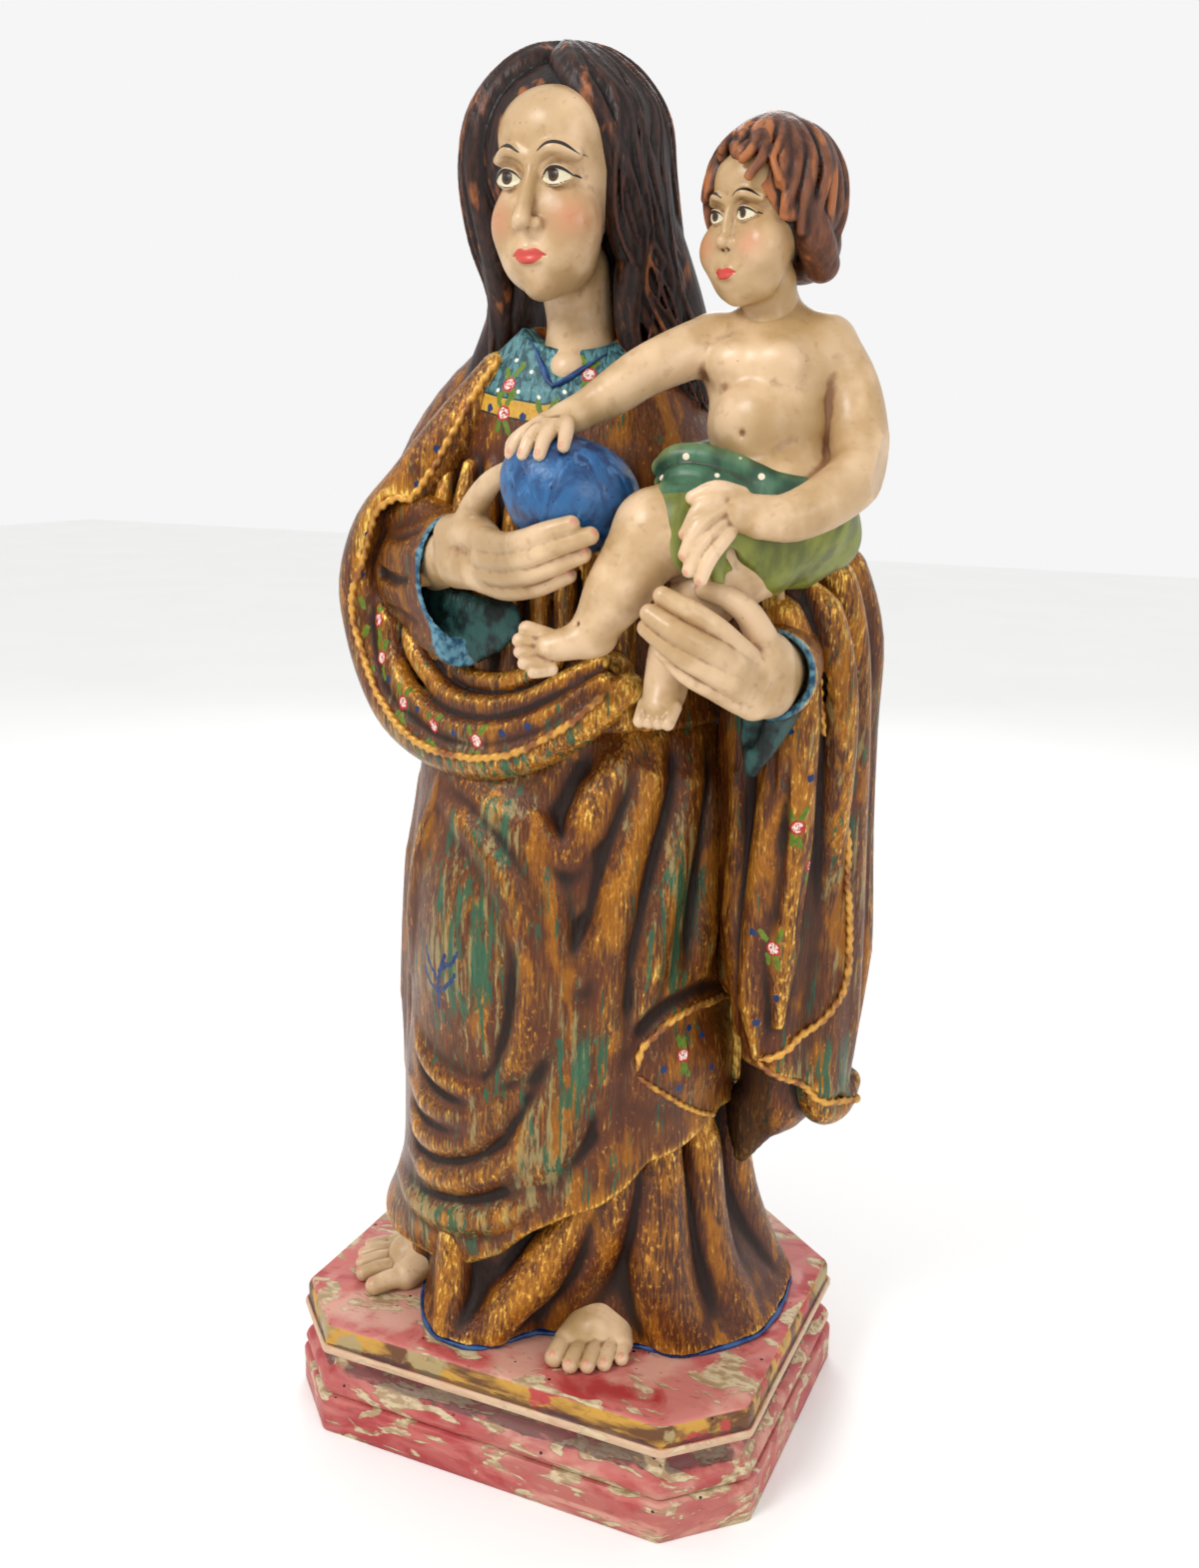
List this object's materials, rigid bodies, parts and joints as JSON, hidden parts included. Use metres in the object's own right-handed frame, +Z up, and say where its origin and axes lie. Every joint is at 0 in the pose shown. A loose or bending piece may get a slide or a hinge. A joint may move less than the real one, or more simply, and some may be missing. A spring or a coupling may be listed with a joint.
{
  "type": "madonna statue",
  "caption": "Carved and painted wooden statue of a standing mother in a draped mantle, holding a child and a blue orb, on an octagonal moulded base.",
  "frame": {"origin": "centre of the base's flat underside", "axes": "+Z up; the figure faces -Y; +X is the figure's own left side, where the child sits"},
  "size_m": [0.3359, 0.2842, 0.798],
  "materials": {
    "base_red": "worn red and pink paint over chalk ground, satin",
    "base_gold": "worn red paint with a gilded edge, satin",
    "robe_gold": "gold leaf under worn green and brown paint, satin",
    "mantle_gold": "gold leaf with a painted flower border, satin",
    "flesh": "aged ivory flesh paint, semi-gloss",
    "hair_brown": "dark brown paint with worn gold, satin",
    "child_hair": "reddish brown paint, satin",
    "orb_blue": "glossy blue paint",
    "loincloth_green": "green paint with small flowers, satin",
    "bare_wood": "unpainted softwood",
    "iron": "rusted wood screw"
  },
  "bodies": {
    "root": {"plinth_board": "base_red", "moulding_board": "base_red", "top_slab": "base_gold", "figure_trunk": "robe_gold", "mantle_right_block": "mantle_gold", "mantle_left_block": "mantle_gold", "right_forearm": "mantle_gold", "left_forearm": "mantle_gold", "madonna_head": "hair_brown", "madonna_face": "flesh", "right_hand": "flesh", "left_hand": "flesh", "orb": "orb_blue", "child_body": "loincloth_green", "child_head": "child_hair", "child_right_arm": "flesh", "child_left_arm": "flesh", "child_right_leg": "flesh", "child_left_leg": "flesh", "right_foot": "flesh", "left_foot": "flesh", "base_dowel_1": "bare_wood", "base_dowel_2": "bare_wood", "base_dowel_3": "bare_wood", "base_dowel_4": "bare_wood", "right_foot_dowel": "bare_wood", "left_foot_dowel": "bare_wood", "right_block_dowel_1": "bare_wood", "right_block_dowel_2": "bare_wood", "left_block_dowel_1": "bare_wood", "left_block_dowel_2": "bare_wood", "left_block_dowel_3": "bare_wood", "right_forearm_dowel": "bare_wood", "left_forearm_dowel": "bare_wood", "neck_dowel": "bare_wood", "right_hand_dowel": "bare_wood", "left_hand_dowel": "bare_wood", "orb_dowel": "bare_wood", "child_neck_dowel": "bare_wood", "child_seat_dowel": "bare_wood", "child_right_arm_dowel": "bare_wood", "child_left_arm_dowel": "bare_wood", "trunk_screw_front": "iron", "trunk_screw_back": "iron"}
  },
  "joints": []
}
